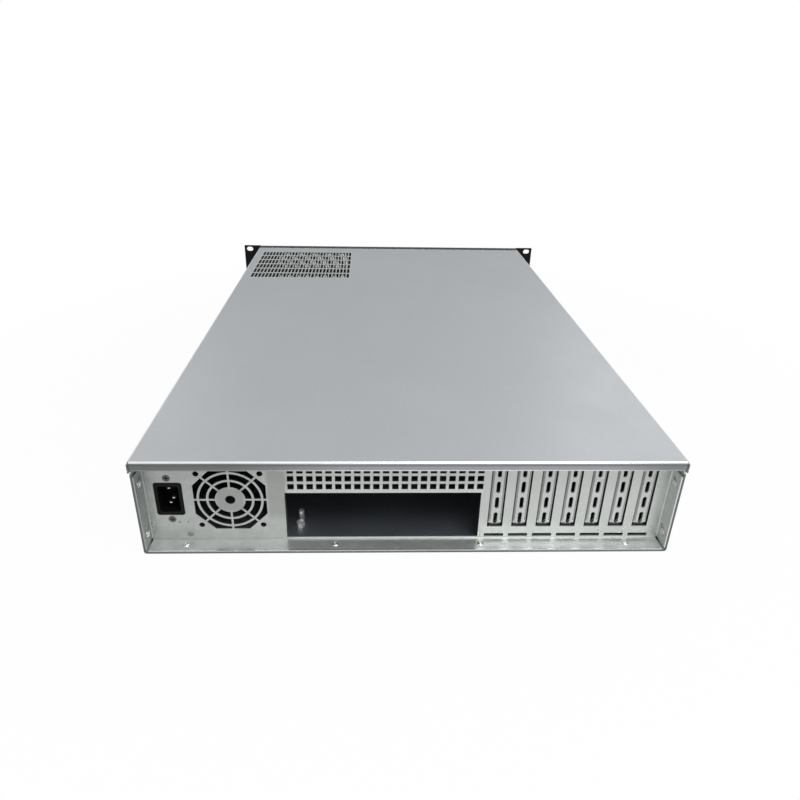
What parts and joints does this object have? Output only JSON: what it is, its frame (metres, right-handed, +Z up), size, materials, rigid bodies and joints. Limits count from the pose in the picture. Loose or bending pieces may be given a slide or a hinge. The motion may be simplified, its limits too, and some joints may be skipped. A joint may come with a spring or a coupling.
{
  "type": "rackmount server case",
  "caption": "Empty rackmount server case with a sliding cover, punched fan guard, rear board opening, slot covers, power inlet and a handled front panel.",
  "frame": {"origin": "centre of the four rack holes, on the back face of the front panel's ears", "axes": "+X to the right seen from the front, +Y towards the rear, +Z up"},
  "size_m": [0.4826, 0.686, 0.0882],
  "materials": {
    "galvanised_sheet": "galvanised sheet, satin",
    "slot_cover_steel": "zinc plated, satin",
    "cover_steel": "galvanised sheet, satin with a soft sheen",
    "plated_fasteners": "zinc plated",
    "black_paint": "black powder coat, satin",
    "black_plastic": "moulded, matte",
    "button_plastic": "moulded, semi-gloss",
    "lens_plastic": "moulded, clear gloss",
    "board_laminate": "lacquered laminate"
  },
  "bodies": {
    "case": {"chassis_tray": "galvanised_sheet", "rear_panel": "galvanised_sheet", "panel_rivets": "plated_fasteners", "top_cover": "cover_steel", "cover_screws": "plated_fasteners", "front_panel": "black_paint", "panel_screws": "plated_fasteners", "handle_left": "black_paint", "handle_right": "black_paint", "handle_screws": "plated_fasteners", "slot_cover_1": "slot_cover_steel", "slot_cover_2": "slot_cover_steel", "slot_cover_3": "slot_cover_steel", "slot_cover_4": "slot_cover_steel", "slot_cover_5": "slot_cover_steel", "slot_cover_6": "slot_cover_steel", "slot_cover_7": "slot_cover_steel", "slot_cover_screws": "plated_fasteners", "inlet_body": "black_plastic", "inlet_pins": "plated_fasteners", "inlet_screws": "plated_fasteners", "inlet_nuts": "plated_fasteners", "opening_angle": "galvanised_sheet", "floor_studs": "plated_fasteners", "drive_cage_left": "galvanised_sheet", "drive_cage_right": "galvanised_sheet", "power_supply_bracket": "galvanised_sheet", "fan_wall": "galvanised_sheet", "floor_screws": "plated_fasteners", "control_holder": "black_plastic", "control_board": "board_laminate", "control_screws": "plated_fasteners", "control_nuts": "plated_fasteners", "indicator_lenses": "lens_plastic", "usb_socket_upper": "plated_fasteners", "usb_socket_lower": "plated_fasteners"},
    "power_button_body": {"power_button": "button_plastic"},
    "reset_button_body": {"reset_button": "button_plastic"}
  },
  "joints": [
    {"name": "power_button_press", "type": "slide", "parent": "case", "child": "power_button_body", "axis": [0, 1, 0], "range_m": [0, 0.0018], "stiffness_N_per_m": 600},
    {"name": "reset_button_press", "type": "slide", "parent": "case", "child": "reset_button_body", "axis": [0, 1, 0], "range_m": [0, 0.0018], "stiffness_N_per_m": 600}
  ]
}
